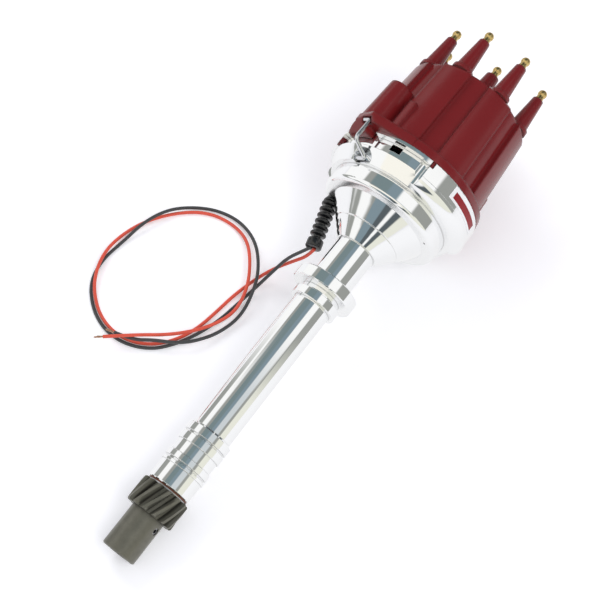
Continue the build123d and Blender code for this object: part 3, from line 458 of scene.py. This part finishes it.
def wrapped_strip(name, material, low, high, turn_from, turn_to, lift):
    """Thin strip that lies round the band, between two heights and two angles in degrees."""
    places = []
    faces = []
    for step in range(LABEL_STEPS + 1):
        turn = math.radians(turn_from + (turn_to - turn_from) * step / LABEL_STEPS)
        for along, radius in ((low, 0), (low, lift), (high, lift), (high, 0)):
            places.append(on_ring(along, BAND_RADIUS + radius, turn))
    for step in range(LABEL_STEPS):
        here = STRIP_CORNERS * step
        ahead = here + STRIP_CORNERS
        for corner in range(STRIP_CORNERS):
            after = (corner + 1) % STRIP_CORNERS
            faces.append((here + corner, here + after, ahead + after, ahead + corner))
    faces.append((0, 1, 2, 3))
    faces.append(tuple(STRIP_CORNERS * LABEL_STEPS + corner for corner in (3, 2, 1, 0)))
    return new_piece(name, places, faces, material, smooth=False)


# each strip: heights along the shaft, angles from straight up towards the right, thickness
PAPER_STRIP = {"low": 0.2915, "high": 0.3008, "turn_from": 45.5, "turn_to": 87, "lift": 0.00008}
RED_STRIP = {"low": 0.2932, "high": 0.2980, "turn_from": 48.5, "turn_to": 84, "lift": 0.00012}
label_paper = moulded("label_paper", (0.86, 0.86, 0.85), 0.35, 300, 0.00002)
label_red = moulded("label_red", (0.24, 0.012, 0.016), 0.4, 300, 0.00002, Specular_IOR_Level=0.3)
wrapped_strip("plain_label", label_paper, **PAPER_STRIP)
wrapped_strip("plain_label_bar", label_red, **RED_STRIP)

# ---- leads: one smooth spline each, from the boot to the bare end ----
LEAD_DIAMETER = 0.0024
STRANDS = 14
STRAND_RADIUS = 0.00016
BUNDLE_RADIUS = 0.00055
# radians from one strand to the next round the bundle
STRAND_TURN = 2.4
STRAND_START = -0.001
STRAND_STRAIGHT_TO = 0.0015
STRAND_LENGTH = 0.0052
STRAND_LENGTH_SPREAD = 0.0011
MIDWAY_BEND = 0.0002
TIP_BEND = 0.0005


def round_curve(name, radius, material, resolution):
    """Empty curve with a round section and closed ends."""
    curve = bpy.data.curves.new(name, "CURVE")
    curve.dimensions = "3D"
    curve.bevel_depth = radius
    curve.bevel_resolution = resolution
    curve.use_fill_caps = True
    curve.materials.append(material)
    return curve


def add_spline(curve, points):
    """Clamped quadratic NURBS spline with these control points."""
    spline = curve.splines.new("NURBS")
    spline.points.add(len(points) - 1)
    for control, place in zip(spline.points, points):
        control.co = (*place, 1)
    spline.order_u = 3
    spline.use_endpoint_u = True
    return spline


def insulated_wire(name, route, material):
    """Round cord along its route."""
    curve = round_curve(name, LEAD_DIAMETER / 2, material, resolution=5)
    add_spline(curve, route).resolution_u = 12
    return placed(name, curve)


def bare_end(name, route, seed):
    """Fan of fine copper wires out of the end of a lead."""
    tip = Vector(route[-1])
    ahead = (tip - Vector(route[-2])).normalized()
    side = ahead.cross(Vector((0, 0, 1))).normalized()
    lift = side.cross(ahead)
    curve = round_curve(name, STRAND_RADIUS, materials["copper_strand"], resolution=2)
    for wire in range(STRANDS):
        angle = wire * STRAND_TURN + seed
        spread = BUNDLE_RADIUS * math.sqrt((wire + 0.5) / STRANDS)
        offset = side * math.cos(angle) * spread + lift * math.sin(angle) * spread
        reach = STRAND_LENGTH + STRAND_LENGTH_SPREAD * math.sin(wire * 1.7 + seed)
        # from inside the insulation straight out, then splaying and bending a little sideways
        midway_bend = MIDWAY_BEND * math.sin(wire + seed)
        tip_bend = TIP_BEND * math.sin(wire * 2.1 + seed)
        places = (
            tip + ahead * STRAND_START + offset * 0.8,
            tip + ahead * STRAND_STRAIGHT_TO + offset,
            tip + ahead * reach * 0.6 + offset * 1.2 + side * midway_bend,
            tip + ahead * reach + offset * 1.5 + side * tip_bend,
        )
        add_spline(curve, places)
    return placed(name, curve)


for colour, route, exit_at, length, seed in (
    ("black", BLACK_ROUTE, BLACK_EXIT, 0.525, 0.3),
    ("red", RED_ROUTE, RED_EXIT, 0.513, 1.1),
):
    lead = insulated_wire(f"{colour}_wire", route, materials[f"{colour}_insulation"])
    strands = bare_end(f"{colour}_strands", route, seed)
    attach(lead, "housing")
    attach(strands, "housing")
    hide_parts(f"{colour}_lead")
    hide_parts(f"{colour}_lead_tip")
    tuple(exit_at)

# ---- floor: white paper; the camera sees it a little brighter, gloss mirrors it nearly even ----
SPREAD = 3.0
FLOOR_HEIGHT = -0.0002
PAPER = (0.95, 0.95, 0.97)
SEEN_GLOW = 0.24
MIRRORED_GLOW_SHARE = 0.7
floor_mesh = bpy.data.meshes.new("floor")
floor_mesh.from_pydata(
    [(-SPREAD, -SPREAD, 0), (SPREAD, -SPREAD, 0), (SPREAD, SPREAD, 0), (-SPREAD, SPREAD, 0)],
    [],
    [(0, 1, 2, 3)],
)
floor = placed("floor", floor_mesh)
floor.location = (0, 0, FLOOR_HEIGHT)
floor_material = bpy.data.materials.new("floor")
floor_material.use_nodes = True
tree = Tree(floor_material.node_tree)
paper = tree.add("ShaderNodeBsdfDiffuse")
paper.inputs["Color"].default_value = (*PAPER, 1)
rays = tree.add("ShaderNodeLightPath")
to_camera = tree.add("ShaderNodeEmission")
tree.join(tree.math("MULTIPLY", rays.outputs["Is Camera Ray"], SEEN_GLOW), to_camera.inputs["Strength"])
lit = tree.add("ShaderNodeAddShader")
tree.join(paper.outputs[0], lit.inputs[0])
tree.join(to_camera.outputs[0], lit.inputs[1])
glow = tree.add("ShaderNodeEmission")
glow.inputs["Strength"].default_value = 1.0
blend = tree.add("ShaderNodeMixShader")
tree.join(tree.math("MULTIPLY", rays.outputs["Is Glossy Ray"], MIRRORED_GLOW_SHARE), blend.inputs[0])
tree.join(lit.outputs[0], blend.inputs[1])
tree.join(glow.outputs[0], blend.inputs[2])
tree.join(blend.outputs[0], tree.add("ShaderNodeOutputMaterial").inputs[0])
floor_mesh.materials.append(floor_material)

# ---- world: white studio; metal and gloss also see its soft boxes and the dark gaps between them ----
ROOM_LIGHT = (0.57, 0.575, 0.61)
BACKDROP = (1.0, 1.0, 1.0)
WHITE = (1.0, 1.0, 0.99)
HAZE = (0.62, 0.66, 0.68)
WARM = (1.0, 0.97, 0.88)
CREAM = (0.84, 0.84, 0.74)
GREY = (0.33, 0.34, 0.32)
SLATE = (0.19, 0.25, 0.26)
BLUE = (0.22, 0.29, 0.33)
DARK = (0.10, 0.12, 0.13)
# each ring of the studio is a list of bands: degrees round the shaft from straight up towards the
# right, and the tone that starts there
RING_BELOW = (
    (-180, WHITE), (-94, GREY), (-64, WHITE), (-39, GREY), (-22, BLUE), (5, DARK), (25, WHITE),
    (38, DARK), (57, CREAM), (108, WHITE),
)
RING_MILLED = (
    (-180, WHITE), (-92, GREY), (-80, WHITE), (-34, WARM), (32, CREAM), (108, WHITE),
)
RING_LOW = (
    (-180, WHITE), (-114, HAZE), (-98, GREY), (-62, WHITE), (-34, GREY), (-14, SLATE), (4, BLUE),
    (20, HAZE), (47, GREY), (60, CREAM), (110, WHITE),
)
RING_SIDE = (
    (-180, WHITE), (-50, GREY), (-36, SLATE), (-2, BLUE), (19, WHITE), (53, GREY), (108, WHITE),
)
RING_HIGH = (
    (-180, GREY), (-62, WHITE), (-48, DARK), (27, WHITE), (34, DARK), (69, WHITE), (77, DARK),
    (104, WHITE), (118, DARK), (147, WHITE),
)
# places along the shaft's direction where each further ring takes over from the one before
RING_STEPS = (
    (-0.57, -0.52, RING_MILLED),
    (-0.04, 0.06, RING_LOW),
    (0.19, 0.26, RING_SIDE),
    (0.44, 0.48, RING_HIGH),
)
# degrees
SOFT_EDGE = 4
world = bpy.data.worlds.new("studio")
bpy.context.scene.world = world
world.use_nodes = True
tree = Tree(world.node_tree)
direction = tree.add("ShaderNodeTexCoord").outputs["Generated"]
turn = tree.math("ARCTAN2", tree.dot(direction, RIGHT), tree.dot(direction, UPPER))
round_share = tree.scaled(turn, 1 / (2 * math.pi), 0.5)
along = tree.dot(direction, SHAFT)


def ring_of_bands(bands):
    """Ramp over the angle round the shaft; each change of tone takes SOFT_EDGE degrees."""
    stops = [(0, bands[0][1])]
    for (_, before), (start, after) in zip(bands, bands[1:]):
        stops.append(((start - SOFT_EDGE / 2 + 180) / 360, before))
        stops.append(((start + SOFT_EDGE / 2 + 180) / 360, after))
    return tree.ramp(round_share, stops)


def step_along(start, end):
    """0 before the first reach along the shaft, 1 past the second."""
    return tree.scaled(along, 1 / (end - start), -start / (end - start), clamp=True)


studio = ring_of_bands(RING_BELOW)
for start, end, ring in RING_STEPS:
    studio = tree.mix_colour(step_along(start, end), studio, ring_of_bands(ring))
rays = tree.add("ShaderNodeLightPath")
for_light = tree.mix_colour(rays.outputs["Is Glossy Ray"], ROOM_LIGHT, studio)
shown = tree.mix_colour(rays.outputs["Is Camera Ray"], for_light, BACKDROP)
background = tree.add("ShaderNodeBackground")
tree.join(shown, background.inputs["Color"])
tree.join(background.outputs[0], tree.add("ShaderNodeOutputWorld").inputs[0])


# ---- lamps ----
LAMP_AIM = Vector((0, 0, 0.04))
LAMP_WIDTH = 0.6


def soft_lamp(name, place, watts):
    """Square area lamp that metal doesn't mirror; the world holds the soft boxes it shows."""
    lamp = bpy.data.lights.new(name, "AREA")
    lamp.shape = "SQUARE"
    lamp.size = LAMP_WIDTH
    lamp.energy = watts
    holder = placed(name, lamp)
    holder.location = place
    holder.rotation_mode = "QUATERNION"
    holder.rotation_quaternion = (LAMP_AIM - Vector(place)).to_track_quat("-Z", "Y")
    holder.visible_glossy = False


soft_lamp("key", (-0.25, -0.75, 1.0), 5.4)
soft_lamp("fill", (0.35, 0.85, 0.9), 3.6)

# ---- bring the scene up to date ----
bpy.context.view_layer.update()
